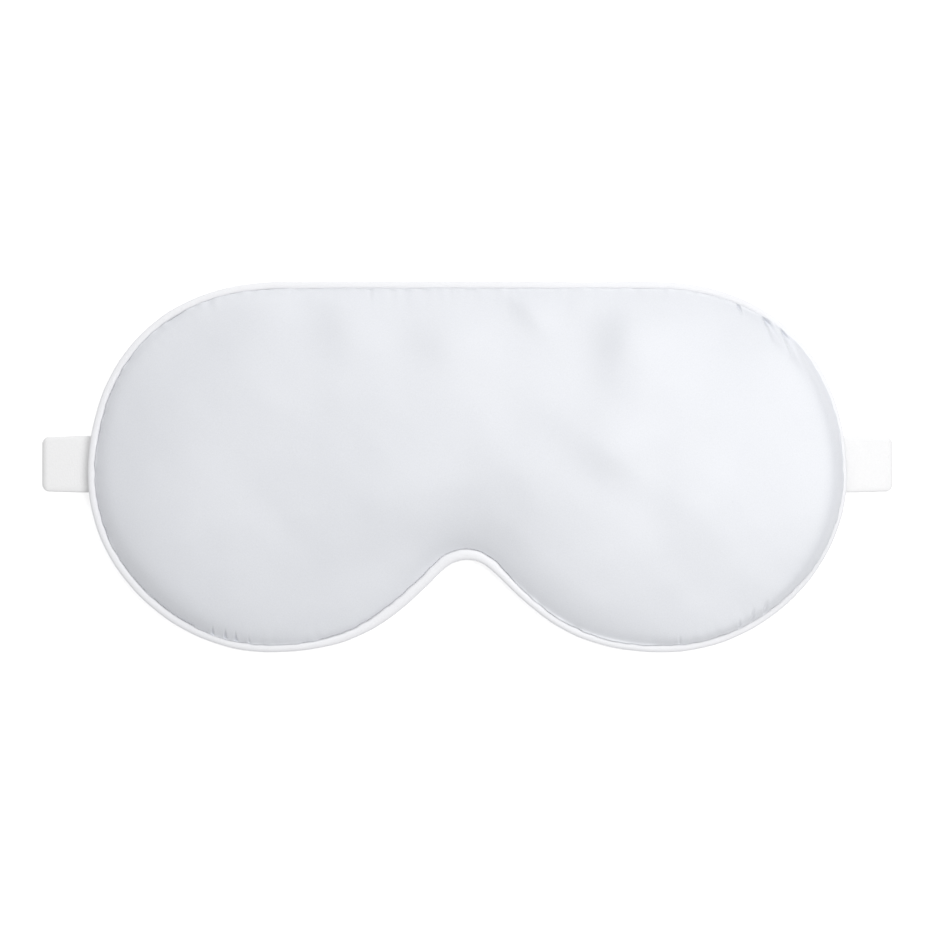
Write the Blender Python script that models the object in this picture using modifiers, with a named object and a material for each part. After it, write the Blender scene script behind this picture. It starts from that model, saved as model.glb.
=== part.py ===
"""A padded sleep mask: two silk panels over wadding, a piped edge and an elastic head strap.

The mask lies face up on its strap. +X is to the right, +Y towards the forehead edge and +Z out of
the front panel. The origin is on the surface that it lies on, under the middle. Lengths in metres.
"""
import math

import bmesh
import bpy
from mathutils import Vector
from mathutils.geometry import interpolate_bezier

# Outline of the mask, measured over the piping
MASK_WIDTH = 0.2000
MASK_HEIGHT = 0.0976
TOP_EDGE_LENGTH = 0.0980
SIDE_DROP = 0.0024
LOBE_SPACING = 0.1040
NOTCH_DEPTH = 0.0243
NOTCH_FLANK_SPACING = 0.0240
NOTCH_FLANK_DROP = 0.0081
NOTCH_FLANK_SLOPE = math.radians(43.5)

# Fullness of each curve of the outline: the handle's share of the distance that the curve spans
CORNER_FULLNESS = 0.61
CHEEK_FULLNESS = 0.53
LOBE_FULLNESS = 0.52
FLANK_FULLNESS = 0.33
NOTCH_FULLNESS = 0.62
TIP_FULLNESS = 0.39

# Points along each curve of half the outline, from the forehead edge round to the nose
TOP_STEPS = 4
CORNER_STEPS = 10
CHEEK_STEPS = 9
LOBE_STEPS = 7
NOTCH_STEPS = 6

# Clearance between pieces that touch
FIT_GAP = 0.0003

# Piping: a cord in a folded strip whose two edges make a flange
PIPING_DIAMETER = 0.0021
PIPING_CLOTH = 0.00025
FLANGE_WIDTH = 0.0040
FLANGE_SLIT = 0.0003
PIPING_OUTER_STEPS = 8
PIPING_INNER_STEPS = 6

# Panels, which rise from the seam to a flatter middle
PANEL_CLOTH = 0.0004
FRONT_CROWN = 0.0046
BACK_CROWN = 0.0038
CROWN_REACH = 0.0200
CROWN_POWER = 2.5
CROWN_RINGS = 7
SHARP_ANGLE = math.radians(50)

# Layers inside
LINING_THICKNESS = 0.0005
PADDING_SLACK = 0.0006
THREAD_DIAMETER = 0.0004
THREAD_INSET = 0.0008

# Elastic strap
STRAP_WIDTH = 0.0150
STRAP_THICKNESS = 0.0010
STRAP_SHOW = 0.0121
STRAP_RISE = 0.0008
STRAP_END_SHOW = 0.0040
FOLD_RADIUS = 0.0012
SLOPE_STEPS = 6
FOLD_STEPS = 14

# Bar tacks across the strap's sewn ends
TACK_LENGTH = 0.0130
TACK_WIDTH = 0.0016
TACK_ROUNDING = 0.0001

# Worked out from the sizes above
PIPING_RADIUS = PIPING_DIAMETER / 2
FLANGE_THICKNESS = FLANGE_SLIT + 2 * PIPING_CLOTH
CORD_RADIUS = PIPING_RADIUS - PIPING_CLOTH - FIT_GAP
RIM_STEP = FLANGE_THICKNESS / 2 + FIT_GAP
PANEL_INSET = PIPING_DIAMETER + FIT_GAP
INNER_INSET = PIPING_DIAMETER + FLANGE_WIDTH + FIT_GAP
SEAM_Z = STRAP_THICKNESS + FIT_GAP + BACK_CROWN + RIM_STEP
STRAP_TOP_DROP = PIPING_RADIUS + FIT_GAP
STRAP_END_Z = SEAM_Z - STRAP_TOP_DROP - STRAP_THICKNESS / 2
BAND_Z = STRAP_THICKNESS / 2
FOLD_X = MASK_WIDTH / 2 + STRAP_SHOW - STRAP_THICKNESS / 2 - FOLD_RADIUS
TAIL_X = MASK_WIDTH / 2 - PIPING_DIAMETER - FLANGE_WIDTH
STRAP_CUT_X = MASK_WIDTH / 2 + STRAP_END_SHOW

# Colours and roughness
SILK = ((0.80, 0.82, 0.86), 0.42)
PIPING_SILK = ((0.84, 0.85, 0.89), 0.45)
COTTON = ((0.86, 0.86, 0.85), 0.85)
WADDING = ((0.88, 0.88, 0.87), 0.95)
BLACKOUT = ((0.03, 0.03, 0.035), 0.80)
ELASTIC = ((0.88, 0.88, 0.89), 0.75)


def clear_scene():
    """Removes every object, so that the script can run again."""
    for obj in list(bpy.data.objects):
        bpy.data.objects.remove(obj, do_unlink=True)


def new_collection(name):
    """Adds a collection to the scene."""
    collection = bpy.data.collections.new(name)
    bpy.context.scene.collection.children.link(collection)
    return collection


def new_frame(name, collection):
    """Adds the empty that carries the pieces of one moving body."""
    frame = bpy.data.objects.new(name, None)
    collection.objects.link(frame)
    return frame


def place(name, data, carrier, finish):
    """Makes an object of the data, gives it its own material and hangs it on its carrier."""
    colour, roughness = finish
    material = bpy.data.materials.new(name)
    material.use_nodes = True
    shader = material.node_tree.nodes["Principled BSDF"]
    shader.inputs["Base Color"].default_value = (*colour, 1.0)
    shader.inputs["Roughness"].default_value = roughness
    shader.inputs["Metallic"].default_value = 0.0
    data.materials.append(material)
    obj = bpy.data.objects.new(name, data)
    carrier.users_collection[0].objects.link(obj)
    obj.parent = carrier
    return obj


def half_outline():
    """Right half of the outline over the piping, from the forehead edge round to the nose."""
    half_width = MASK_WIDTH / 2
    top = MASK_HEIGHT / 2
    notch_top = NOTCH_DEPTH - top
    middle = Vector((0.0, top))
    corner = Vector((TOP_EDGE_LENGTH / 2, top))
    side = Vector((half_width, -SIDE_DROP))
    lobe = Vector((LOBE_SPACING / 2, -top))
    flank = Vector((NOTCH_FLANK_SPACING / 2, notch_top - NOTCH_FLANK_DROP))
    tip = Vector((0.0, notch_top))
    right = Vector((1.0, 0.0))
    up = Vector((0.0, 1.0))
    along_flank = Vector((-math.cos(NOTCH_FLANK_SLOPE), math.sin(NOTCH_FLANK_SLOPE)))
    corner_span = side - corner
    cheek_span = lobe - side
    lobe_span = lobe.x - flank.x
    curves = [
        (middle, middle.lerp(corner, 1 / 3), middle.lerp(corner, 2 / 3), corner, TOP_STEPS),
        (corner, corner + right * CORNER_FULLNESS * corner_span.x,
         side - up * CORNER_FULLNESS * corner_span.y, side, CORNER_STEPS),
        (side, side + up * CHEEK_FULLNESS * cheek_span.y,
         lobe - right * CHEEK_FULLNESS * cheek_span.x, lobe, CHEEK_STEPS),
        (lobe, lobe - right * LOBE_FULLNESS * lobe_span,
         flank - along_flank * FLANK_FULLNESS * lobe_span, flank, LOBE_STEPS),
        (flank, flank + along_flank * NOTCH_FULLNESS * flank.x,
         tip + right * TIP_FULLNESS * flank.x, tip, NOTCH_STEPS),
    ]
    points = []
    for start, leaving, arriving, end, steps in curves:
        points += interpolate_bezier(start, leaving, arriving, end, steps + 1)[:-1]
    return points + [tip]


def outline(inset):
    """Whole outline, clockwise from the middle of the forehead edge, moved inward by the inset."""
    right_half = half_outline()
    left_half = [Vector((-point.x, point.y)) for point in reversed(right_half[1:-1])]
    points = right_half + left_half
    moved = []
    for index, point in enumerate(points):
        before = (point - points[index - 1]).normalized()
        after = (points[(index + 1) % len(points)] - point).normalized()
        along = (before + after).normalized()
        inward = Vector((along.y, -along.x))
        moved.append(point + inward * inset / along.dot(after))
    return moved


def crown_height(distance, crown):
    """Height of a panel over its rim, at a distance in from that rim."""
    left = max(0.0, 1.0 - distance / CROWN_REACH)
    return crown * (1.0 - left ** CROWN_POWER) ** (1.0 / CROWN_POWER)


def ring_distance(ring):
    """Distance of a ring of the crown in from the rim; the rings are closest where it is steepest."""
    return CROWN_REACH * (ring / CROWN_RINGS) ** 2


def outline_face(bm, inset, z, facing):
    """Adds the outline as one face that faces up for 1 and down for -1."""
    corners = [bm.verts.new((point.x, point.y, z)) for point in outline(inset)]
    if facing > 0:
        corners.reverse()
    face = bm.faces.new(corners)
    face.normal_update()
    return face


def raise_crown(bm, cap, crown, start):
    """Insets the cap ring by ring and lifts it along its normal to the crown's height."""
    reached = start
    for ring in range(1, CROWN_RINGS + 1):
        distance = ring_distance(ring)
        if distance <= start:
            continue
        lift = crown_height(distance, crown) - crown_height(reached, crown)
        bmesh.ops.inset_region(
            bm, faces=[cap], thickness=distance - reached, depth=lift,
            use_boundary=True, use_even_offset=True)
        reached = distance


def finished_mesh(name, bm):
    """Turns the working mesh into a smooth-shaded one."""
    mesh = bpy.data.meshes.new(name)
    bm.to_mesh(mesh)
    bm.free()
    mesh.shade_smooth()
    mesh.set_sharp_from_angle(angle=SHARP_ANGLE)
    return mesh


def make_panel(name, carrier, crown, facing):
    """One crowned silk panel, a thin shell that is open towards the seam."""
    bm = bmesh.new()
    cap = outline_face(bm, PANEL_INSET, SEAM_Z + facing * RIM_STEP, facing)
    raise_crown(bm, cap, crown, 0.0)
    panel = place(name, finished_mesh(name, bm), carrier, SILK)
    shell = panel.modifiers.new("cloth", "SOLIDIFY")
    shell.thickness = PANEL_CLOTH
    shell.offset = -1.0
    shell.use_even_offset = True
    return panel


def make_padding(name, carrier, crown, facing):
    """One layer of wadding, flat on the lining and crowned under its panel."""
    start = INNER_INSET - PANEL_INSET
    base_step = LINING_THICKNESS / 2 + FIT_GAP
    wall_step = RIM_STEP + crown_height(start, crown) - PANEL_CLOTH - PADDING_SLACK
    bm = bmesh.new()
    base = outline_face(bm, INNER_INSET, SEAM_Z + facing * base_step, -facing)
    walls = bmesh.ops.extrude_face_region(bm, geom=[base], use_keep_orig=True)
    top_verts = [item for item in walls["geom"] if isinstance(item, bmesh.types.BMVert)]
    cap = next(item for item in walls["geom"] if isinstance(item, bmesh.types.BMFace))
    bmesh.ops.translate(bm, verts=top_verts, vec=(0.0, 0.0, facing * (wall_step - base_step)))
    bmesh.ops.recalc_face_normals(bm, faces=bm.faces)
    raise_crown(bm, cap, crown, start)
    return place(name, finished_mesh(name, bm), carrier, WADDING)


def outline_curve(name, inset, dimensions):
    """A closed curve along the outline."""
    curve = bpy.data.curves.new(name, "CURVE")
    curve.dimensions = dimensions
    points = outline(inset)
    spline = curve.splines.new("POLY")
    spline.points.add(len(points) - 1)
    for knot, point in zip(spline.points, points):
        knot.co = (point.x, point.y, 0.0, 1.0)
    spline.use_cyclic_u = True
    return curve


def make_lining(carrier):
    """The flat blackout cloth between the two layers of wadding."""
    curve = outline_curve("blackout_lining", INNER_INSET, "2D")
    curve.fill_mode = "BOTH"
    curve.extrude = LINING_THICKNESS / 2
    lining = place("blackout_lining", curve, carrier, BLACKOUT)
    lining.location.z = SEAM_Z
    return lining


def arc(radius, start, end, steps):
    """Points on a circle round the origin, from one angle to another."""
    angles = [start + (end - start) * step / steps for step in range(steps + 1)]
    return [(radius * math.cos(angle), radius * math.sin(angle)) for angle in angles]


def piping_section():
    """Section of the piping cover: an open tube whose two edges run on as the flange."""
    inner_radius = PIPING_RADIUS - PIPING_CLOTH
    slit = FLANGE_SLIT / 2
    flange = FLANGE_THICKNESS / 2
    tip = PIPING_RADIUS + FLANGE_WIDTH
    outer_edge = math.asin(flange / PIPING_RADIUS)
    inner_edge = math.asin(slit / inner_radius)
    outer = arc(PIPING_RADIUS, 2 * math.pi - outer_edge, outer_edge, PIPING_OUTER_STEPS)
    inner = arc(inner_radius, inner_edge, 2 * math.pi - inner_edge, PIPING_INNER_STEPS)
    return outer + [(tip, flange), (tip, slit)] + inner + [(tip, -slit), (tip, -flange)]


def make_piping_cover(carrier, guides):
    """The folded strip of silk round the cord."""
    section = bpy.data.curves.new("piping_section", "CURVE")
    section.dimensions = "2D"
    points = piping_section()
    spline = section.splines.new("POLY")
    spline.points.add(len(points) - 1)
    for knot, point in zip(spline.points, points):
        knot.co = (*point, 0.0, 1.0)
    spline.use_cyclic_u = True
    guide = bpy.data.objects.new("piping_section", section)
    guide.hide_render = True
    guide.display_type = "WIRE"
    guides.objects.link(guide)
    curve = outline_curve("piping_cover", PIPING_RADIUS, "3D")
    curve.twist_mode = "Z_UP"
    curve.bevel_mode = "OBJECT"
    curve.bevel_object = guide
    cover = place("piping_cover", curve, carrier, PIPING_SILK)
    cover.location.z = SEAM_Z
    return cover


def make_round_line(name, carrier, inset, z, radius, finish):
    """A thin round line that follows the whole outline."""
    curve = outline_curve(name, inset, "3D")
    curve.bevel_depth = radius
    curve.bevel_resolution = 1
    line = place(name, curve, carrier, finish)
    line.location.z = z
    return line


def slope_z(x):
    """Height of the strap's middle line between the seam and the fold."""
    leave = MASK_WIDTH / 2
    fold_top = BAND_Z + 2 * FOLD_RADIUS
    share = min(1.0, max(0.0, (x - leave) / (FOLD_X - leave)))
    ease = share * share * (3 - 2 * share)
    return STRAP_END_Z + ease * (fold_top - STRAP_END_Z)


def slope_path(start, end):
    """Points of the strap's middle line on its way from the seam to the fold."""
    stations = [start + (end - start) * step / SLOPE_STEPS for step in range(SLOPE_STEPS + 1)]
    return [Vector((x, slope_z(x))) for x in stations]


def end_path():
    """Middle line of the strap's sewn end, from inside the seam to just outside the piping."""
    return [Vector((TAIL_X, STRAP_END_Z))] + slope_path(MASK_WIDTH / 2, STRAP_CUT_X - FIT_GAP / 2)


def fold_path():
    """Middle line of the strap where it turns back under the mask."""
    path = slope_path(STRAP_CUT_X + FIT_GAP / 2, FOLD_X)
    for step in range(1, FOLD_STEPS + 1):
        turn = math.pi * step / FOLD_STEPS
        path.append(Vector((FOLD_X + FOLD_RADIUS * math.sin(turn),
                            BAND_Z + FOLD_RADIUS * (1 + math.cos(turn)))))
    return path


def band_path():
    """Middle line of the strap across the back of the mask."""
    reach = FOLD_X - FIT_GAP
    return [Vector((-reach, BAND_Z)), Vector((reach, BAND_Z))]


def make_ribbon(name, carrier, path, side):
    """A stretch of strap along a path of x and z, mirrored to the left for a side of -1."""
    upper = []
    lower = []
    for index, point in enumerate(path):
        along = (path[min(index + 1, len(path) - 1)] - path[max(index - 1, 0)]).normalized()
        across = Vector((-along.y, along.x)) * STRAP_THICKNESS / 2
        upper.append(point + across)
        lower.append(point - across)
    edge = upper + list(reversed(lower))
    curve = bpy.data.curves.new(name, "CURVE")
    curve.dimensions = "2D"
    curve.fill_mode = "BOTH"
    curve.extrude = STRAP_WIDTH / 2
    spline = curve.splines.new("POLY")
    spline.points.add(len(edge) - 1)
    for knot, point in zip(spline.points, edge):
        knot.co = (side * point.x, point.y, 0.0, 1.0)
    spline.use_cyclic_u = True
    ribbon = place(name, curve, carrier, ELASTIC)
    ribbon.rotation_euler.x = math.pi / 2
    ribbon.location.y = STRAP_RISE
    return ribbon


def box_mesh(name, size):
    """A box of the given size round its own middle."""
    bm = bmesh.new()
    bmesh.ops.create_cube(bm, size=1.0)
    bmesh.ops.scale(bm, vec=size, verts=bm.verts)
    mesh = bpy.data.meshes.new(name)
    bm.to_mesh(mesh)
    bm.free()
    return mesh


def make_bar_tack(name, carrier, side):
    """The bar of dense stitches on a strap end, between it and the piping flange."""
    top = SEAM_Z - FLANGE_THICKNESS / 2 - FIT_GAP
    bottom = SEAM_Z - STRAP_TOP_DROP + FIT_GAP
    middle_x = TAIL_X + FLANGE_WIDTH / 2
    tack = place(name, box_mesh(name, (TACK_WIDTH, TACK_LENGTH, top - bottom)), carrier, COTTON)
    tack.location = (side * middle_x, STRAP_RISE, (top + bottom) / 2)
    rounding = tack.modifiers.new("rounding", "BEVEL")
    rounding.width = min(TACK_ROUNDING, (top - bottom) / 3)
    rounding.segments = 2
    return tack


def cut_strap_slot(panel, cutters, side):
    """Opens the back panel's rim where a strap end goes into the seam."""
    floor = STRAP_END_Z - STRAP_THICKNESS / 2 - FIT_GAP
    inner = TAIL_X - FIT_GAP
    outer = MASK_WIDTH / 2
    size = (outer - inner, STRAP_WIDTH + 2 * FIT_GAP, SEAM_Z - floor)
    name = f"{panel.name}_slot_{'right' if side > 0 else 'left'}"
    cutter = bpy.data.objects.new(name, box_mesh(name, size))
    cutter.location = (side * (outer + inner) / 2, STRAP_RISE, (SEAM_Z + floor) / 2)
    cutter.hide_render = True
    cutter.display_type = "WIRE"
    cutters.objects.link(cutter)
    cut = panel.modifiers.new(name, "BOOLEAN")
    cut.operation = "DIFFERENCE"
    cut.object = cutter


def build():
    """Builds the whole mask."""
    clear_scene()
    parts = new_collection("sleep_mask")
    cutters = new_collection("sleep_mask_cutters")
    mask = new_frame("mask_frame", parts)
    strap = new_frame("strap_frame", parts)

    make_panel("front_panel", mask, FRONT_CROWN, 1)
    back_panel = make_panel("back_panel", mask, BACK_CROWN, -1)
    make_padding("front_padding", mask, FRONT_CROWN, 1)
    make_padding("back_padding", mask, BACK_CROWN, -1)
    make_lining(mask)
    make_piping_cover(mask, cutters)
    make_round_line("piping_cord", mask, PIPING_RADIUS, SEAM_Z, CORD_RADIUS, COTTON)
    thread_z = SEAM_Z + RIM_STEP + THREAD_DIAMETER / 2
    thread_inset = PANEL_INSET + PANEL_CLOTH + THREAD_INSET
    make_round_line("seam_thread", mask, thread_inset, thread_z, THREAD_DIAMETER / 2, COTTON)

    make_ribbon("strap_band", strap, band_path(), 1)
    for side, word in ((-1, "left"), (1, "right")):
        make_ribbon(f"{word}_strap_end", mask, end_path(), side)
        make_ribbon(f"{word}_strap_fold", strap, fold_path(), side)
        make_bar_tack(f"{word}_bar_tack", mask, side)
        cut_strap_slot(back_panel, cutters, side)


build()
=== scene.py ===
"""Looks of the padded sleep mask: satin panels, piping and a folded elastic strap, seen from above."""

import math

import bmesh
import bpy
import numpy as np
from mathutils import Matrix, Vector
from mathutils.geometry import delaunay_2d_cdt, interpolate_bezier
from mathutils.kdtree import KDTree


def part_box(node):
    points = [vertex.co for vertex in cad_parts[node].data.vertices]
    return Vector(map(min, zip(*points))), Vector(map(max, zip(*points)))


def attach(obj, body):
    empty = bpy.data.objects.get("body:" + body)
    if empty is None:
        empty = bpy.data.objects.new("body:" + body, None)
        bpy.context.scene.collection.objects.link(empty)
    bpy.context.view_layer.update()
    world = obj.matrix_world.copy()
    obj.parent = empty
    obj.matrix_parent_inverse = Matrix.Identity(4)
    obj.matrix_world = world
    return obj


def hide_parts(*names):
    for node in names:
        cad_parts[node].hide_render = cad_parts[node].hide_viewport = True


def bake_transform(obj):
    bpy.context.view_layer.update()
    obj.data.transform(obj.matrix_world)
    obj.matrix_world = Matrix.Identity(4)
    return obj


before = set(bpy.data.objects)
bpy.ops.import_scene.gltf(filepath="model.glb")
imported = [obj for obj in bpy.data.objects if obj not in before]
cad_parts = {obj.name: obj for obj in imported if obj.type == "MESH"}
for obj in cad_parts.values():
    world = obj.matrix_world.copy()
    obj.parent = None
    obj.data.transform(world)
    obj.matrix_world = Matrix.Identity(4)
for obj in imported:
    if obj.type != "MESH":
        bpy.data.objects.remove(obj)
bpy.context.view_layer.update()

MM = 0.001

# Sizes read from the frame
PIPING_LOW, PIPING_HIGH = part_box("piping_cover")
LINING_LOW, LINING_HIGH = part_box("blackout_lining")
FRONT_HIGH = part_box("front_panel")[1]
BAND_LOW, BAND_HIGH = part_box("strap_band")
FOLD_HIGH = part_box("right_strap_fold")[1]
END_LOW, END_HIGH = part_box("right_strap_end")
SEAM_Z = (PIPING_LOW.z + PIPING_HIGH.z) / 2
PIPING_RADIUS = (PIPING_HIGH.z - PIPING_LOW.z) / 2
STRAP_WIDTH = BAND_HIGH.y - BAND_LOW.y
STRAP_THICKNESS = BAND_HIGH.z - BAND_LOW.z
STRAP_Y = (BAND_HIGH.y + BAND_LOW.y) / 2

# Outline of the mask over its piping, as in the solids
TOP_EDGE_HALF = 0.0490
SIDE_Y = -0.0024
LOBE_X = 0.0520
NOTCH_Y = -0.0245
FLANK_X = 0.0120
FLANK_Y = -0.0326
FLANK_SLOPE = math.radians(43.5)
CORNER_FULLNESS = 0.61
CHEEK_FULLNESS = 0.53
LOBE_FULLNESS = 0.52
FLANK_FULLNESS = 0.33
NOTCH_FULLNESS = 0.62
TIP_FULLNESS = 0.39
CURVE_STEPS = 160


def half_outline():
    """Right half of the outline, from the forehead edge round to the nose."""
    right = Vector((1.0, 0.0))
    up = Vector((0.0, 1.0))
    middle = Vector((0.0, PIPING_HIGH.y))
    corner = Vector((TOP_EDGE_HALF, PIPING_HIGH.y))
    side = Vector((PIPING_HIGH.x, SIDE_Y))
    lobe = Vector((LOBE_X, PIPING_LOW.y))
    flank = Vector((FLANK_X, FLANK_Y))
    tip = Vector((0.0, NOTCH_Y))
    slope = Vector((-math.cos(FLANK_SLOPE), math.sin(FLANK_SLOPE)))
    corner_span = side - corner
    cheek_span = lobe - side
    lobe_span = LOBE_X - FLANK_X
    curves = [
        (middle, middle.lerp(corner, 1 / 3), middle.lerp(corner, 2 / 3), corner),
        (corner, corner + right * CORNER_FULLNESS * corner_span.x,
         side - up * CORNER_FULLNESS * corner_span.y, side),
        (side, side + up * CHEEK_FULLNESS * cheek_span.y,
         lobe - right * CHEEK_FULLNESS * cheek_span.x, lobe),
        (lobe, lobe - right * LOBE_FULLNESS * lobe_span,
         flank - slope * FLANK_FULLNESS * lobe_span, flank),
        (flank, flank + slope * NOTCH_FULLNESS * FLANK_X,
         tip + right * TIP_FULLNESS * FLANK_X, tip),
    ]
    points = []
    for start, leaving, arriving, end in curves:
        points += interpolate_bezier(start, leaving, arriving, end, CURVE_STEPS + 1)[:-1]
    return np.array([*points, tip])


def even_outline(count):
    """The whole outline at even spacing, clockwise, with its inward normals and length so far."""
    right_half = half_outline()
    left_half = right_half[-2:0:-1] * (-1.0, 1.0)
    loop = np.vstack([right_half, left_half, right_half[:1]])
    run = np.concatenate([[0.0], np.cumsum(np.linalg.norm(np.diff(loop, axis=0), axis=1))])
    at = np.linspace(0.0, run[-1], count, endpoint=False)
    points = np.column_stack([np.interp(at, run, loop[:, axis]) for axis in (0, 1)])
    along = np.roll(points, -1, axis=0) - np.roll(points, 1, axis=0)
    along /= np.linalg.norm(along, axis=1)[:, None]
    inward = np.column_stack([along[:, 1], -along[:, 0]])
    return points, inward, at


def smooth_noise(values, seed, waves):
    """A smooth periodic wobble between about -1 and 1 over values that run from 0 to 1."""
    rng = np.random.default_rng(seed)
    total = np.zeros_like(values)
    for wave in waves:
        total += np.sin(2 * np.pi * (wave * values + rng.random())) * rng.uniform(0.5, 1.0)
    return total / len(waves)


def ease(share):
    """Smooth step from 0 to 1."""
    share = np.clip(share, 0.0, 1.0)
    return share * share * (3 - 2 * share)


def new_object(name, verts, faces, material):
    """Adds a smooth-shaded mesh object."""
    mesh = bpy.data.meshes.new(name)
    mesh.from_pydata([tuple(v) for v in verts], [], faces)
    mesh.validate()
    mesh.shade_smooth()
    mesh.materials.append(material)
    obj = bpy.data.objects.new(name, mesh)
    bpy.context.scene.collection.objects.link(obj)
    return obj


def mesh_points(mesh):
    """Vertex places of a mesh as an array."""
    flat = np.empty(len(mesh.vertices) * 3)
    mesh.vertices.foreach_get("co", flat)
    return flat.reshape(-1, 3)


def sweep_faces(rows, columns, closed_rows):
    """Quads of a swept section: the section is closed, the path only if closed_rows."""
    faces = []
    for row in range(rows if closed_rows else rows - 1):
        after = (row + 1) % rows
        for column in range(columns):
            side = (column + 1) % columns
            faces.append((row * columns + column, row * columns + side,
                          after * columns + side, after * columns + column))
    return faces


# Materials: slow mottle of the colour, then threads that shade, roughen and raise the cloth
MOTTLE_SCALE = 38.0
MOTTLE_DETAIL = 3.0
MOTTLE_RANGE = (0.35, 0.65)
THREAD_DETAIL = 2.0
GRAIN_RANGE = (0.6, 1.4)
GLOSS_RANGE = (0.3, 0.7)
SMOOTHER = 0.04
ROUGHER = 0.05
THREAD_BUMP = 0.5
SHEEN_ROUGHNESS = 0.4


def new_material(name):
    """A new material, its node tree and its shader."""
    material = bpy.data.materials.new(name)
    material.use_nodes = True
    tree = material.node_tree
    return material, tree, tree.nodes["Principled BSDF"]


def add_node(tree, kind, inputs=(), **settings):
    """Adds a node, sets its fields and fills its inputs with values or links."""
    node = tree.nodes.new(kind)
    for key, value in settings.items():
        setattr(node, key, value)
    for key, value in dict(inputs).items():
        if isinstance(value, bpy.types.NodeSocket):
            tree.links.new(value, node.inputs[key])
        else:
            node.inputs[key].default_value = value
    return node


def stretched_noise(tree, scale, stretch, detail):
    """Noise in object space that is drawn out along the axes where stretch is small."""
    place = add_node(tree, "ShaderNodeTexCoord")
    mapping = add_node(tree, "ShaderNodeMapping",
                       {"Vector": place.outputs["Object"], "Scale": stretch})
    return add_node(tree, "ShaderNodeTexNoise", {
        "Vector": mapping.outputs["Vector"], "Scale": scale, "Detail": detail})


def cloth_material(name, light, dark, roughness, gloss_index, threads, stretch, contrast, depth, sheen):
    """A woven cloth: slow colour changes, fine threads both ways and a soft sheen.

    threads is how fine the threads are, stretch how short they are drawn, and contrast and depth
    are how much they shade the colour and how far they stand out.
    """
    material, tree, shader = new_material(name)
    mottle = stretched_noise(tree, MOTTLE_SCALE, (1.0, 1.0, 1.0), MOTTLE_DETAIL)
    ramp = add_node(tree, "ShaderNodeValToRGB", {"Fac": mottle.outputs["Fac"]})
    for stop, position, colour in zip(ramp.color_ramp.elements, MOTTLE_RANGE, (dark, light)):
        stop.position = position
        stop.color = (*colour, 1.0)
    weft = stretched_noise(tree, threads, (stretch, 1.0, 1.0), THREAD_DETAIL)
    warp = stretched_noise(tree, threads, (1.0, stretch, 1.0), THREAD_DETAIL)
    grain = add_node(tree, "ShaderNodeMath", {0: weft.outputs["Fac"], 1: warp.outputs["Fac"]},
                     operation="ADD")
    shade = add_node(tree, "ShaderNodeMapRange", {
        "Value": grain.outputs["Value"], "From Min": GRAIN_RANGE[0], "From Max": GRAIN_RANGE[1],
        "To Min": 1 - contrast, "To Max": 1 + contrast})
    shaded = add_node(tree, "ShaderNodeVectorMath", {
        0: ramp.outputs["Color"], 1: shade.outputs["Result"]}, operation="MULTIPLY")
    tree.links.new(shaded.outputs["Vector"], shader.inputs["Base Color"])
    gloss = add_node(tree, "ShaderNodeMapRange", {
        "Value": weft.outputs["Fac"], "From Min": GLOSS_RANGE[0], "From Max": GLOSS_RANGE[1],
        "To Min": roughness - SMOOTHER, "To Max": roughness + ROUGHER})
    tree.links.new(gloss.outputs["Result"], shader.inputs["Roughness"])
    bump = add_node(tree, "ShaderNodeBump", {
        "Height": grain.outputs["Value"], "Strength": THREAD_BUMP, "Distance": depth})
    tree.links.new(bump.outputs["Normal"], shader.inputs["Normal"])
    shader.inputs["IOR"].default_value = gloss_index
    shader.inputs["Sheen Weight"].default_value = sheen
    shader.inputs["Sheen Roughness"].default_value = SHEEN_ROUGHNESS
    return material


SATIN = cloth_material(
    "silk_satin", (0.718, 0.734, 0.774), (0.702, 0.719, 0.760), roughness=0.54, gloss_index=2.20,
    threads=5200.0, stretch=0.40, contrast=0.040, depth=0.000016, sheen=0.10)
PIPING_SATIN = cloth_material(
    "piping_satin", (0.876, 0.879, 0.901), (0.851, 0.855, 0.879), roughness=0.50, gloss_index=1.30,
    threads=5200.0, stretch=0.40, contrast=0.020, depth=0.000016, sheen=0.60)
PLUSH = cloth_material(
    "plush_elastic", (0.902, 0.902, 0.907), (0.887, 0.887, 0.892), roughness=0.85, gloss_index=1.30,
    threads=2600.0, stretch=0.55, contrast=0.020, depth=0.00006, sheen=0.60)
WADDING = cloth_material(
    "wadding", (0.860, 0.860, 0.850), (0.800, 0.800, 0.790), roughness=0.92, gloss_index=1.30,
    threads=900.0, stretch=0.15, contrast=0.050, depth=0.00040, sheen=0.30)
COTTON = cloth_material(
    "cotton", (0.850, 0.850, 0.840), (0.800, 0.800, 0.790), roughness=0.85, gloss_index=1.40,
    threads=3000.0, stretch=0.20, contrast=0.050, depth=0.00008, sheen=0.10)
BLACKOUT = cloth_material(
    "blackout_cloth", (0.035, 0.035, 0.040), (0.022, 0.022, 0.026), roughness=0.85, gloss_index=1.45,
    threads=1800.0, stretch=0.12, contrast=0.050, depth=0.00008, sheen=0.10)

# Piping and seam: the seam line lies about one piping width in from the edge
OUTLINE_COUNT = 1440
OUTLINE_EASE = 0.0030
SEAM_SEED = 3
SEAM_WAVES = (9, 17, 26, 41, 63, 94, 131)
SEAM_WOBBLE = 0.00042
WOBBLE_FADE = 0.0020
SEAM_GAP = 0.00016
FULLNESS = 2.7
POINTS_AT_ONCE = 2000

OUTLINE, INWARD, RUN = even_outline(OUTLINE_COUNT)
PERIMETER = RUN[-1] + (RUN[1] - RUN[0])
SHARE = RUN / PERIMETER


def place_on_outline(place):
    """Index of the outline point next to a place given in mm."""
    return int(np.argmin(np.linalg.norm(OUTLINE - np.array(place) * MM, axis=1)))


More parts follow.
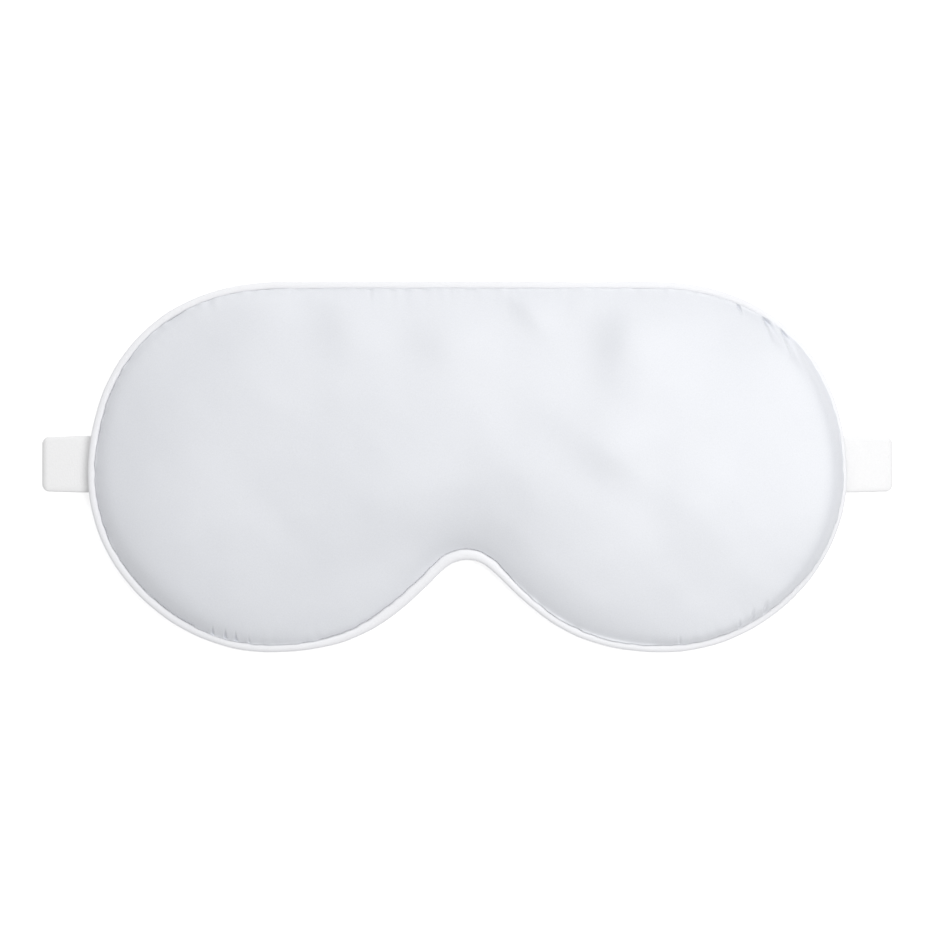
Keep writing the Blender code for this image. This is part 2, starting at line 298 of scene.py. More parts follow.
def all_round(controls):
    """A value for each outline point, eased between the values given at some places in mm."""
    controls = sorted((RUN[place_on_outline(place)], value) for place, value in controls)
    places, values = zip(*controls)
    loop = np.interp(RUN, places, values, period=PERIMETER)
    waves = np.fft.rfftfreq(OUTLINE_COUNT, PERIMETER / OUTLINE_COUNT)
    soften = np.exp(-2 * (np.pi * waves * OUTLINE_EASE) ** 2)
    return np.fft.irfft(np.fft.rfft(loop) * soften, OUTLINE_COUNT)


# Width of piping that shows, in mm, at places round the edge
SEAM_WIDTHS = [
    ((0.0, 48.8), 1.70), ((-45.0, 48.8), 1.80), ((45.0, 48.8), 1.75), ((70.0, 43.5), 1.70),
    ((84.0, 33.0), 1.35), ((97.0, 15.0), 1.10), ((100.0, -2.4), 1.05), ((95.0, -22.0), 1.20),
    ((80.0, -39.0), 1.70), ((52.0, -48.8), 1.85), ((30.0, -44.0), 1.80), ((12.0, -32.6), 1.90),
    ((5.0, -27.0), 2.60), ((0.0, -24.5), 3.00), ((-8.0, -29.0), 3.00), ((-18.0, -37.5), 3.00),
    ((-28.0, -43.0), 2.60), ((-40.0, -47.5), 2.10), ((-52.0, -48.8), 1.90), ((-80.0, -39.0), 2.10),
    ((-100.0, -2.4), 2.00), ((-78.0, 39.0), 2.00),
]
SEAM_PATH = all_round(SEAM_WIDTHS) * MM
SEAM_INSET = SEAM_PATH + SEAM_WOBBLE * smooth_noise(SHARE, SEAM_SEED, SEAM_WAVES)
PIPING_HALF_WIDTH = np.maximum(SEAM_INSET - SEAM_GAP, 2 * PIPING_RADIUS) / 2


def nearest_on_outline(points):
    """Distance in from the outline and place along it, for points inside the mask."""
    distance = np.empty(len(points))
    along = np.empty(len(points))
    step = RUN[1] - RUN[0]
    tangent = np.column_stack([-INWARD[:, 1], INWARD[:, 0]])
    for first in range(0, len(points), POINTS_AT_ONCE):
        these = slice(first, first + POINTS_AT_ONCE)
        part = points[these]
        gap = part[:, None, :] - OUTLINE[None, :, :]
        near = np.argmin((gap ** 2).sum(axis=2), axis=1)
        offset = part - OUTLINE[near]
        slide = np.clip((offset * tangent[near]).sum(axis=1), -step, step)
        distance[these] = np.sqrt(np.maximum((offset ** 2).sum(axis=1) - slide ** 2, 0))
        along[these] = RUN[near] + slide
    return distance, along % PERIMETER


def from_seam(points):
    """Distance in from the seam line and place along the edge; the seam's wobble fades inward."""
    distance, along = nearest_on_outline(points)
    path = np.interp(along, RUN, SEAM_PATH, period=PERIMETER)
    wobble = np.interp(along, RUN, SEAM_INSET - SEAM_PATH, period=PERIMETER)
    wobble *= 1 - ease((distance - path) / WOBBLE_FADE)
    return np.maximum(distance - path - wobble, 0.0), along


# Points of a sheet: its rings follow the edge, and a grid fills the middle
GRID_MARGIN = 0.6
MERGE_GAP = 1e-9


def inside_outline(points, loop):
    """True for points inside a closed loop."""
    after = np.roll(loop, -1, axis=0)
    inside = np.zeros(len(points), bool)
    for (x0, y0), (x1, y1) in zip(loop, after):
        if y0 == y1:
            continue
        crosses = (points[:, 1] < y0) != (points[:, 1] < y1)
        at = x0 + (points[:, 1] - y0) * (x1 - x0) / (y1 - y0)
        inside ^= crosses & (points[:, 0] < at)
    return inside


def sheet_points(inset, rings, every, step):
    """Rings of points that follow the edge, an even grid inside them, and the faces between."""
    rim = OUTLINE[::every]
    inward = INWARD[::every]
    inset = inset[::every]
    count = len(rim)
    ring_points = np.vstack([rim + inward * (inset + ring)[:, None] for ring in rings])
    columns = np.arange(PIPING_LOW.x, PIPING_HIGH.x, step)
    rows = np.arange(PIPING_LOW.y, PIPING_HIGH.y, step * math.sqrt(3) / 2)
    grid = np.array([(x + (index % 2) * step / 2, y) for index, y in enumerate(rows) for x in columns])
    grid = grid[inside_outline(grid, ring_points[-count:])]
    gap, _ = nearest_on_outline(grid)
    grid = grid[gap > inset.mean() + rings[-1] + step * GRID_MARGIN]
    faces = []
    for ring in range(len(rings) - 1):
        for column in range(count):
            side = (column + 1) % count
            faces.append((ring * count + column, ring * count + side,
                          (ring + 1) * count + side, (ring + 1) * count + column))
    start = (len(rings) - 1) * count
    inner = [Vector(p) for p in ring_points[start:]] + [Vector(p) for p in grid]
    loop = [(i, (i + 1) % count) for i in range(count)]
    result = delaunay_2d_cdt(inner, loop, [], 1, MERGE_GAP)
    if len(result[0]) != len(inner):
        raise RuntimeError("points of a sheet were merged")
    faces += [tuple(start + i for i in reversed(face)) for face in result[2]]
    return np.vstack([ring_points, grid]), faces, count


# Wall of the padding inside the seam: (x, y) in mm, width in mm, share of the full rise
EDGE_WALLS = [
    ((0.0, 48.8), 1.2, 0.13), ((-45.0, 48.8), 1.3, 0.13), ((45.0, 48.8), 1.3, 0.13),
    ((70.0, 43.5), 2.6, 0.22), ((76.5, 40.0), 2.8, 0.50), ((81.0, 36.5), 2.6, 0.70),
    ((84.5, 32.5), 2.8, 0.94), ((97.0, 15.0), 2.5, 0.99), ((100.0, -2.4), 2.0, 0.99),
    ((95.0, -22.0), 1.6, 0.92), ((84.0, -35.5), 1.2, 0.72), ((76.0, -41.5), 0.9, 0.50),
    ((64.0, -46.5), 0.9, 0.42), ((57.0, -48.4), 1.0, 0.38), ((48.0, -48.6), 2.0, 0.36),
    ((30.0, -44.0), 3.4, 0.36), ((12.0, -32.6), 3.8, 0.42), ((0.0, -24.5), 4.2, 0.26),
    ((-5.0, -27.0), 3.0, 0.10), ((-20.0, -39.0), 0.8, 0.10), ((-34.0, -46.0), 1.0, 0.14),
    ((-48.0, -48.8), 1.6, 0.22), ((-75.0, -42.0), 2.6, 0.60), ((-88.0, -31.0), 3.2, 0.72),
    ((-96.0, -19.0), 2.2, 0.50), ((-100.0, -2.4), 1.9, 0.46), ((-97.0, 15.0), 1.9, 0.42),
    ((-78.0, 39.0), 1.8, 0.24),
]
WALL_BEND = 2.5
WALL_WIDTH = all_round([(place, width) for place, width, _ in EDGE_WALLS]) * MM
WALL_SHARE = all_round([(place, share) for place, _, share in EDGE_WALLS])

# Places near the seam where the dome rises more slowly: (x, y), radius and longer reach in mm
FLAT_PLACES = [((-20.0, -36.0), 18.0, 28.0), ((-46.0, -48.0), 14.0, 16.0), ((62.0, -46.0), 16.0, 26.0)]
DOME_REACH = 0.0320


def dome_reach(points):
    """How far in from the seam the dome goes on rising."""
    reach = np.full(len(points), DOME_REACH)
    for place, radius, longer in FLAT_PLACES:
        gap = np.linalg.norm(points - np.array(place) * MM, axis=1)
        reach += longer * MM * np.exp(-(gap / (radius * MM)) ** 2)
    return reach


def crown(points, distance, along):
    """Share of the full rise at a distance in from the seam: a steep wall, then a slow dome."""
    width = np.interp(along, RUN, WALL_WIDTH, period=PERIMETER)
    wall = np.interp(along, RUN, WALL_SHARE, period=PERIMETER)
    steps = distance / width
    steep = steps / (1 + steps ** WALL_BEND) ** (1 / WALL_BEND)
    slow = np.sin(np.clip(distance / dome_reach(points), 0.0, 1.0) * np.pi / 2)
    return wall * steep + (1 - wall) * slow


# Soft folds of the front in mm: start and end of the crest, its half width on the side away from
# the light and on the side to the light, and its height
FRONT_FOLDS = [
    ((-56.0, 50.0), (-48.0, 32.0), 14.0, 8.0, 0.80),
    ((-33.0, 49.0), (-29.5, 29.0), 8.0, 10.0, 1.00),
    ((-6.0, 41.5), (-4.5, 27.0), 8.0, 10.0, 0.85),
    ((11.0, 48.4), (22.0, 35.3), 3.6, 8.0, 0.95),
    ((29.5, 50.0), (29.0, 38.0), 3.0, 5.0, 0.30),
    ((46.5, 52.0), (39.5, 21.0), 7.2, 13.0, 1.90),
    ((29.5, 12.0), (47.5, -3.0), 6.0, 13.0, 1.05),
    ((8.0, 24.0), (34.0, 8.0), 8.0, 8.0, 0.25),
    ((-40.0, 8.5), (-26.0, -6.5), 9.0, 16.0, 0.18),
    ((-26.0, 2.0), (-6.0, -22.0), 18.0, 18.0, 1.30),
    ((-100.0, -9.0), (-64.0, -13.0), 14.0, 24.0, 1.10),
    ((2.0, 0.0), (24.0, -16.0), 14.0, 16.0, 0.50),
    ((51.0, -3.0), (67.0, -17.0), 10.0, 14.0, 0.90),
]
FOLD_FADE = 0.45
FOLD_START = 3.6


def fold_heights(points, distance, folds):
    """Height that the soft folds add at each point; the higher ones start further from the seam."""
    total = np.zeros(len(points))
    for start, end, steep_side, slow_side, height in folds:
        start = np.array(start) * MM
        run = np.array(end) * MM - start
        length = np.linalg.norm(run)
        along = (points - start) @ run / length ** 2
        across = (points - start) @ np.array([-run[1], run[0]]) / length
        widths = across / np.where(across < 0, steep_side * MM, slow_side * MM)
        fade = np.exp(-((along - 0.5) / FOLD_FADE) ** 2) * ease(distance / (FOLD_START * height * MM))
        total += height * MM * fade * np.exp(-widths ** 2)
    return total


# Puckers at the seam: (x, y) of the place on the edge in mm, half width before and after the
# crease as it is met going clockwise, length inward and depth in mm, lean along the edge, and
# how much wider it is at its inner end, or narrower below 0
FRONT_PUCKERS = [
    ((70.9, 43.0), 0.35, 0.55, 2.2, 0.70, 1.00, 0.0),
    ((77.4, 39.1), 0.60, 2.20, 3.4, 1.60, 1.80, 0.8),
    ((81.6, 35.7), 0.60, 2.40, 3.0, 1.50, 2.30, 0.8),
    ((-67.4, -44.9), 0.55, 0.45, 1.9, 0.80, 0.35, -0.6),
    ((-64.1, -46.1), 0.60, 0.45, 2.1, 0.95, 0.30, -0.6),
    ((-61.0, -46.8), 0.60, 0.45, 2.1, 0.95, 0.25, -0.6),
    ((-57.8, -47.6), 0.50, 0.40, 1.8, 0.45, 0.15, -0.6),
    ((71.8, -43.7), 0.40, 0.40, 2.0, 0.50, -0.60, 0.0),
    ((75.0, -42.0), 0.60, 0.45, 2.4, 0.60, -0.90, 0.0),
    ((78.6, -39.9), 0.80, 0.50, 2.4, 0.60, -1.10, 0.0),
    ((56.0, -47.9), 0.40, 0.40, 2.0, 0.40, -0.10, 0.0),
    ((-46.5, 48.0), 0.60, 0.90, 3.0, 0.14, 0.10, 0.0),
    ((-25.7, 48.0), 0.45, 0.70, 3.2, 0.20, 0.00, 0.0),
    ((-3.0, 48.0), 0.60, 0.80, 2.6, 0.14, 0.10, 0.0),
    ((12.4, 48.0), 0.60, 0.90, 3.2, 0.16, 0.20, 0.0),
    ((51.5, 48.0), 0.60, 0.80, 2.2, 0.12, 0.20, 0.0),
]
PUCKER_START = 0.25
PUCKER_RIDGE = 0.25
RIDGE_WIDTH = 2.6
SPREAD_RANGE = (0.3, 3.0)
# Faces are cut finer round puckers of at least this depth in mm, out to so many widths and lengths
FINE_DEPTH = 0.30
FINE_WIDTHS = 3.2
FINE_LENGTHS = 1.4
FINE_CUTS = 2


def pucker_widths(distance, along, pucker):
    """How many half widths points lie before or after a pucker's crease."""
    place, before, after, length, _, lean, spread = pucker
    near = place_on_outline(place)
    offset = (along - RUN[near] - lean * distance + PERIMETER / 2) % PERIMETER - PERIMETER / 2
    half_width = np.where(offset < 0, before, after) * MM
    return offset / (half_width * np.clip(1 + spread * distance / (length * MM), *SPREAD_RANGE))


def pucker_heights(distance, along, puckers):
    """Height that the seam puckers take away or add at each point."""
    total = np.zeros(len(distance))
    for pucker in puckers:
        widths = pucker_widths(distance, along, pucker)
        length, depth = pucker[3:5]
        fade = np.exp(-(distance / (length * MM)) ** 4) * ease(distance / (PUCKER_START * length * MM))
        ridge = PUCKER_RIDGE * np.exp(-(widths / RIDGE_WIDTH) ** 2)
        total += depth * MM * fade * (ridge - np.exp(-widths ** 2))
    return total


def finer_at_puckers(mesh, puckers):
    """Cuts the faces round each deep pucker finer, so that its crease is sharp."""
    distance, along = from_seam(mesh_points(mesh)[:, :2])
    close = np.zeros(len(distance), bool)
    for pucker in puckers:
        length, depth = pucker[3:5]
        if depth < FINE_DEPTH:
            continue
        beside = np.abs(pucker_widths(distance, along, pucker)) < FINE_WIDTHS
        close |= beside & (distance < FINE_LENGTHS * length * MM)
    cut = bmesh.new()
    cut.from_mesh(mesh)
    cut.verts.ensure_lookup_table()
    edges = [e for e in cut.edges if close[e.verts[0].index] and close[e.verts[1].index]]
    bmesh.ops.subdivide_edges(cut, edges=edges, cuts=FINE_CUTS, use_grid_fill=True)
    cut.to_mesh(mesh)
    cut.free()


# Height of the fine gathers in mm at places round the edge
GATHER_HEIGHTS = [
    ((0.0, 48.8), 0.32), ((50.0, 48.8), 0.30), ((75.0, 41.0), 0.20), ((100.0, -2.4), 0.10),
    ((84.0, -35.5), 0.24), ((52.0, -48.8), 0.20), ((0.0, -24.5), 0.06), ((-30.0, -44.0), 0.06),
    ((-55.0, -48.5), 0.18), ((-80.0, -39.0), 0.12), ((-100.0, -2.4), 0.06), ((-80.0, 38.0), 0.12),
    ((-50.0, 48.8), 0.30),
]
GATHERS = all_round(GATHER_HEIGHTS) * MM
GATHER_WAVES = (61, 83, 97, 118, 139, 171)
GATHER_PATCHES = (3, 5, 8)
GATHER_START = 0.0006
GATHER_REACH = 0.0035


def seam_gathers(distance, along, seed):
    """Fine uneven gathers that fade away from the seam."""
    share = along / PERIMETER
    height = np.interp(along, RUN, GATHERS, period=PERIMETER)
    fine = smooth_noise(share, seed, GATHER_WAVES)
    strength = 0.5 + 0.5 * smooth_noise(share, seed + 1, GATHER_PATCHES)
    return height * fine * strength * np.exp(-(distance / GATHER_REACH) ** 2)


# Slow waves of the wadding in m: seed, height, shortest wave and longest wave
FRONT_WAVES = [(11, 0.00016, 0.022, 0.060), (17, 0.00005, 0.009, 0.020)]
BACK_WAVES = [(31, 0.00010, 0.022, 0.060)]
WAVE_COUNT = 14
WAVE_START = 0.006


def slow_waves(points, seed, height, shortest, longest):
    """Slow unevenness of the wadding under the cloth."""
    rng = np.random.default_rng(seed)
    total = np.zeros(len(points))
    for _ in range(WAVE_COUNT):
        length = rng.uniform(shortest, longest)
        heading = rng.uniform(0, np.pi)
        ahead = np.array([math.cos(heading), math.sin(heading)])
        total += np.sin(2 * np.pi * (points @ ahead / length + rng.random())) * length / longest
    return height * total / math.sqrt(WAVE_COUNT)


# Heights of the panels before their cloth settles
EXTRA_RISE = 0.0003
FRONT_RISE = FRONT_HIGH.z - SEAM_Z + EXTRA_RISE
DOME = 0.0005
DOME_START = 0.010
SEAM_LIFT = 0.0006
OVERHANG_GAP = 0.0003
LIFT_FADE = 0.0030
FLOOR_GAP = 0.0003
CHANNEL_EASE = 0.0060
END_EASE = 0.0012


def front_lift(along):
    """Height of the front's edge over the seam: it clears the piping where it hangs over it."""
    over = 1 - np.abs(SEAM_INSET / PIPING_HALF_WIDTH - 1) ** FULLNESS
    piping = PIPING_RADIUS * np.maximum(over, 0.0) ** (1 / FULLNESS)
    lift = np.maximum(piping + OVERHANG_GAP, SEAM_LIFT)
    return np.interp(along, RUN, lift, period=PERIMETER)


def front_start(points):
    """Height of the front panel before its cloth settles."""
    distance, along = from_seam(points)
    over_piping = (front_lift(along) - SEAM_LIFT) * (1 - ease(distance / LIFT_FADE))
    rise = crown(points, distance, along)
    heights = np.maximum(SEAM_LIFT + (FRONT_RISE - DOME - SEAM_LIFT) * rise, SEAM_LIFT + over_piping)
    heights += DOME * (1 - (points[:, 0] / PIPING_HIGH.x) ** 2) * ease(distance / DOME_START)
    for wave in FRONT_WAVES:
        heights += ease(distance / WAVE_START) * slow_waves(points, *wave)
    heights += fold_heights(points, distance, FRONT_FOLDS)
    return SEAM_Z + heights


def back_floor(points):
    """Lowest that the back may hang: just over the surface, or over the strap."""
    strap_gap = np.abs(points[:, 1] - STRAP_Y) - STRAP_WIDTH / 2 - FLOOR_GAP
    return FLOOR_GAP + STRAP_THICKNESS * (1 - ease(strap_gap / CHANNEL_EASE))


def back_start(points):
    """Height of the back panel before its cloth settles: it passes under the strap's sewn ends."""
    distance, along = from_seam(points)
    drop = (SEAM_Z - SEAM_LIFT - FLOOR_GAP) * crown(points, distance, along)
    for wave in BACK_WAVES:
        drop += ease(distance / WAVE_START) * slow_waves(points, *wave)
    beside = np.abs(points[:, 1] - STRAP_Y) - STRAP_WIDTH / 2
    outer = (np.abs(points[:, 0]) - END_LOW.x) / CHANNEL_EASE + 1
    under_end = (1 - ease(beside / END_EASE)) * ease(outer)
    drop = np.maximum(drop, under_end * (SEAM_Z - SEAM_LIFT - END_LOW.z + FLOOR_GAP))
    return np.maximum(SEAM_Z - SEAM_LIFT - drop, back_floor(points))


# How the cloth settles: the simulation, then the share of its moves that is kept
SETTLE_FRAMES = 20
SETTLE_QUALITY = 6
SETTLE_EXCESS = 0.0010
SETTLE_PRESSURE = 0.5
SETTLE_BENDING = 0.3
SETTLE_SHARE = 0.35
SETTLE_SMOOTHING = 18
SETTLE_CAP = 0.0012
SETTLE_EDGE = 0.0140


def settle(start, faces, seam_count):
    """Where the cloth comes to rest under the wadding's pressure, with its seam held still."""
    sheet = new_object("settling", start, faces, SATIN)
    sheet.vertex_groups.new(name="seam").add(list(range(seam_count)), 1.0, "REPLACE")
    cloth = sheet.modifiers.new("cloth", "CLOTH")
    cloth.settings.quality = SETTLE_QUALITY
    cloth.settings.vertex_group_mass = "seam"
    cloth.settings.use_pressure = True
    cloth.settings.uniform_pressure_force = SETTLE_PRESSURE
    cloth.settings.effector_weights.gravity = 0.0
    cloth.settings.shrink_min = -SETTLE_EXCESS
    cloth.settings.bending_stiffness = SETTLE_BENDING
    cloth.collision_settings.use_collision = False
    for number in range(1, SETTLE_FRAMES + 1):
        bpy.context.scene.frame_set(number)
    moved = mesh_points(sheet.evaluated_get(bpy.context.evaluated_depsgraph_get()).data)
    bpy.context.scene.frame_set(1)
    bpy.data.objects.remove(sheet)
    return moved


def smoothed(values, faces, rounds):
    """Values at points, each drawn towards the mean of the points next to it."""
    pairs = np.array([(a, b) for face in faces for a, b in zip(face, face[1:] + face[:1])])
    for _ in range(rounds):
        total = np.zeros_like(values)
        count = np.zeros(len(values))
        for near, far in ((0, 1), (1, 0)):
            np.add.at(total, pairs[:, near], values[pairs[:, far]])
            np.add.at(count, pairs[:, near], 1)
        values = (values + total / count[:, None]) / 2
    return values


# Panels: distances of the rings from the seam in mm, every so many outline points, and the grid
RIM_RINGS = (0.0, 0.35, 0.8, 1.5, 2.5, 4.0, 6.0)
RIM_EVERY = 2
GRID_STEP = 0.0021
CLOTH_THICKNESS = 0.0003


def make_panel(name, node, heights, outward, puckers, seed):
    """A padded satin panel: settled as cloth, made finer, then drawn in at its seam."""
    rings = np.array(RIM_RINGS) * MM
    points, faces, seam_count = sheet_points(SEAM_INSET, rings, RIM_EVERY, GRID_STEP)
    faces = [tuple(reversed(f)) for f in faces] if outward > 0 else faces
    places = np.column_stack([points, heights(points)])
    moves = np.clip(settle(places, faces, seam_count) - places, -SETTLE_CAP, SETTLE_CAP)
    moves = smoothed(moves, faces, SETTLE_SMOOTHING)
    away, _ = from_seam(points)
    places += moves * SETTLE_SHARE * ease(away / SETTLE_EDGE)[:, None]
    panel = new_object(name, places, faces, SATIN)
    panel.modifiers.new("finer", "SUBSURF").levels = 1
    finer = bpy.data.meshes.new_from_object(panel.evaluated_get(bpy.context.evaluated_depsgraph_get()))
    panel.modifiers.clear()
    panel.data = finer
    finer_at_puckers(finer, puckers)
    verts = mesh_points(finer)
    distance, along = from_seam(verts[:, :2])
    rise = pucker_heights(distance, along, puckers)
    rise += seam_gathers(distance, along, seed) * ease(distance / GATHER_START)
    verts[:, 2] += outward * rise
    if outward < 0:
        verts[:, 2] = np.maximum(verts[:, 2], back_floor(verts[:, :2]))
    finer.vertices.foreach_set("co", verts.ravel())
    finer.update()
    shell = panel.modifiers.new("cloth", "SOLIDIFY")
    shell.thickness = CLOTH_THICKNESS
    shell.offset = -1.0
    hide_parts(node)
    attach(panel, "mask")
    return verts


# Wadding inside the panels
WADDING_INSET = 0.0048
WADDING_GAP = 0.0006
WADDING_STEP = 0.0030
WADDING_RINGS = 4
WADDING_EVERY = 4
WADDING_REACH = 0.0035
WADDING_LEAST = 0.0002
LINING_GAP = 0.0002


def make_wadding(name, node, base_z, outward, panel):
    """A layer of wadding from the lining out to just under a panel."""
    rings = WADDING_STEP * np.arange(WADDING_RINGS) / 2
    inset = SEAM_INSET + WADDING_INSET
    points, faces, count = sheet_points(inset, rings, WADDING_EVERY, WADDING_STEP)
    tree = KDTree(len(panel))
    for index, place in enumerate(panel):
        tree.insert((place[0], place[1], 0.0), index)
    tree.balance()
    room = np.empty(len(points))
    for index, (x, y) in enumerate(points):
        near = [found[1] for found in tree.find_range((x, y, 0.0), WADDING_REACH)]
        room[index] = (outward * (panel[near, 2] - base_z)).min()
    depth = np.maximum(room - CLOTH_THICKNESS - WADDING_GAP, WADDING_LEAST)
    verts = np.vstack([np.column_stack([points, base_z + outward * depth]),
                       np.column_stack([points, np.full(len(points), base_z)])])
    total = len(points)
    outer = [tuple(reversed(f)) for f in faces] if outward > 0 else list(faces)
    inner = [tuple(total + i for i in reversed(f)) for f in outer]
    sides = [(i, (i + 1) % count, total + (i + 1) % count, total + i) for i in range(count)]
    sides = sides if outward > 0 else [tuple(reversed(f)) for f in sides]
    wadding = new_object(name, verts, outer + inner + sides, WADDING)
    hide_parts(node)
    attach(wadding, "mask")


# Piping
EDGE_SEED = 5
EDGE_WAVES = (7, 13, 22, 37, 55)
EDGE_WOBBLE = 0.00010
SWELL_SEED = 6
SWELL_WAVES = (29, 47, 71, 103, 151)
SWELL = 0.04
PIPING_FLATTENING = 0.96
PIPING_CLOTH = 0.00022
FLANGE_LENGTH = 0.0034
FLANGE_HALF = 0.00022
SLIT_HALF = 0.00008
OUTER_STEPS = 18
INNER_STEPS = 8


def piping_section(half_width, half_height):
    """Section of the folded piping strip, as outward and up, for one place along the edge."""
    opening = math.asin(FLANGE_HALF / half_height)
    angles = np.linspace(math.pi - opening, -math.pi + opening, OUTER_STEPS)
    across = np.cos(angles)
    up = np.sin(angles)
    fuller = (np.abs(across) ** FULLNESS + np.abs(up) ** FULLNESS) ** (-1 / FULLNESS)
    outer = np.column_stack([half_width * fuller * across, half_height * fuller * up])
    inner_width = half_width - PIPING_CLOTH
    inner_height = half_height - PIPING_CLOTH
    slit = math.asin(SLIT_HALF / inner_height)
    angles = np.linspace(-math.pi + slit, math.pi - slit, INNER_STEPS)
    inner = np.column_stack([inner_width * np.cos(angles), inner_height * np.sin(angles)])
    tip = -half_width - FLANGE_LENGTH
    flange = [(tip, -FLANGE_HALF), (tip, -SLIT_HALF)]
    return np.vstack([outer, flange, inner, [(tip, SLIT_HALF), (tip, FLANGE_HALF)]])


def make_piping():
    """The satin strip over its cord, a little uneven, as sewn piping is."""
    edge = EDGE_WOBBLE * smooth_noise(SHARE, EDGE_SEED, EDGE_WAVES)
    swell = SWELL * smooth_noise(SHARE, SWELL_SEED, SWELL_WAVES)
    rows = []
    for index in range(OUTLINE_COUNT):
        half_width = PIPING_HALF_WIDTH[index]
        half_height = PIPING_RADIUS * PIPING_FLATTENING * (1 + swell[index])
        section = piping_section(half_width, half_height)
        middle = OUTLINE[index] + INWARD[index] * (half_width + edge[index])
        across = middle - INWARD[index] * section[:, :1]
        rows.append(np.column_stack([across, SEAM_Z + section[:, 1]]))
    faces = sweep_faces(OUTLINE_COUNT, len(rows[0]), True)
    piping = new_object("piping", np.vstack(rows), faces, PIPING_SATIN)
    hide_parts("piping_cover")
    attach(piping, "mask")


# Seam thread
THREAD_RADIUS = 0.00012
THREAD_INSET = 0.0011
STITCH_LENGTH = 0.0025
STITCH_DIP = 0.00004
THREAD_SIDES = 6


def make_thread():
    """The running stitch that holds the front, the piping and the back, hidden under the front."""
    angles = np.linspace(0, 2 * math.pi, THREAD_SIDES, endpoint=False)
    stitches = round(PERIMETER / STITCH_LENGTH)
    dips = STITCH_DIP * np.cos(2 * np.pi * stitches * SHARE)
    height = SEAM_Z + FLANGE_HALF + THREAD_RADIUS + STITCH_DIP
    rows = []
    for index in range(OUTLINE_COUNT):
        middle = OUTLINE[index] + INWARD[index] * (SEAM_INSET[index] + THREAD_INSET)
        across = middle + INWARD[index] * THREAD_RADIUS * np.cos(angles)[:, None]
        rows.append(np.column_stack([across, height + dips[index] + THREAD_RADIUS * np.sin(angles)]))
    faces = sweep_faces(OUTLINE_COUNT, THREAD_SIDES, True)
    thread = new_object("stitches", np.vstack(rows), faces, COTTON)
    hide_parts("seam_thread")
    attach(thread, "mask")


# Strap
CORNER_ROUND = 0.0018
FOLD_TAPER = 0.0003
TAPER_LENGTH = 0.010
FOLD_TOP = 0.0034
EXTRA_REACH = 0.0006
FOLD_REACH = FOLD_HIGH.x + EXTRA_REACH
SLOPE_START = 0.0955
SLOPE_END = 0.1015
STRAP_STEP = 0.0004
BEND_STEPS = 40
SIDE_STEPS = 5
SIDE_BULGE = 0.8
ACROSS_STEPS = 14


def strap_path():
    """Middle line of the whole strap as x and z, from its right sewn end to its left one."""
    band_z = STRAP_THICKNESS / 2
    radius = (FOLD_TOP - STRAP_THICKNESS) / 2
    fold_x = FOLD_REACH - STRAP_THICKNESS / 2 - radius
    end_z = END_HIGH.z - STRAP_THICKNESS / 2
    stations = np.arange(END_LOW.x, fold_x, STRAP_STEP)
    share = ease((stations - SLOPE_START) / (SLOPE_END - SLOPE_START))
    slope = np.column_stack([stations, end_z + share * (band_z + 2 * radius - end_z)])
    turns = np.linspace(0, math.pi, BEND_STEPS)
    bend = np.column_stack([fold_x + radius * np.sin(turns), band_z + radius * (1 + np.cos(turns))])
    band = np.column_stack([np.arange(fold_x - STRAP_STEP, 0.0, -STRAP_STEP * 2)] * 2)
    band[:, 1] = band_z
    right = np.vstack([slope, bend, band, [(0.0, band_z)]])
    left = right[::-1][1:] * (-1.0, 1.0)
    return np.vstack([right, left])


def strap_half_width(reach):
    """Half the strap's width where its outer face reaches so far out: the fold's corners are round."""
    out = FOLD_REACH - reach
    half = STRAP_WIDTH / 2 - FOLD_TAPER * (1 - min(1.0, out / TAPER_LENGTH))
    if out < CORNER_ROUND:
        half -= CORNER_ROUND - math.sqrt(max(CORNER_ROUND ** 2 - (CORNER_ROUND - out) ** 2, 0.0))
    return half


def make_strap():
    """The elastic strap, in one piece from seam to seam."""
    path = strap_path()
    along = np.gradient(path, axis=0)
    along /= np.linalg.norm(along, axis=1)[:, None]
    up = np.column_stack([-along[:, 1], along[:, 0]])
    half_thick = STRAP_THICKNESS / 2
    bulge = half_thick * SIDE_BULGE
    angles = np.linspace(0, math.pi, SIDE_STEPS)
    rows = []
    for point, lift in zip(path, up):
        half = strap_half_width(abs(point[0]) + abs(lift[0]) * half_thick)
        flat = half - bulge
        right_side = [(flat + bulge * math.sin(a), half_thick * math.cos(a)) for a in angles]
        left_side = [(-y, -z) for y, z in right_side]
        inner = np.linspace(-flat, flat, ACROSS_STEPS)[1:-1]
        top = [(y, half_thick) for y in inner]
        bottom = [(y, -half_thick) for y in reversed(inner)]
        section = np.array(top + right_side + bottom + left_side)
        rows.append([(point[0] + lift[0] * z, STRAP_Y + y, point[1] + lift[1] * z) for y, z in section])
    columns = len(rows[0])
    faces = sweep_faces(len(rows), columns, False)
    last = (len(rows) - 1) * columns
    faces.append(tuple(reversed(range(columns))))
    faces.append(tuple(range(last, last + columns)))
    strap = new_object("strap", np.vstack(rows), faces, PLUSH)
    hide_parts("strap_band", "left_strap_fold", "right_strap_fold",
                "left_strap_end", "right_strap_end")
    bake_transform(strap)


# Studio
WHITE = (1.0, 1.0, 1.0, 1.0)
FLOOR_SIZE = 6.0
FLOOR_COLOUR = (0.80, 0.80, 0.80, 1.0)
FLOOR_ROUGHNESS = 0.9
FLOOR_GLOW = 0.60
SKY_STRENGTH = 0.52
CAMERA_LENS = 100.0
SENSOR = 36.0
PHOTO_SIZE = 938
MM_PER_PIXEL = 0.2635
VIEW_CENTRE_X = 0.0004
VIEW_CENTRE_Y = -0.0005


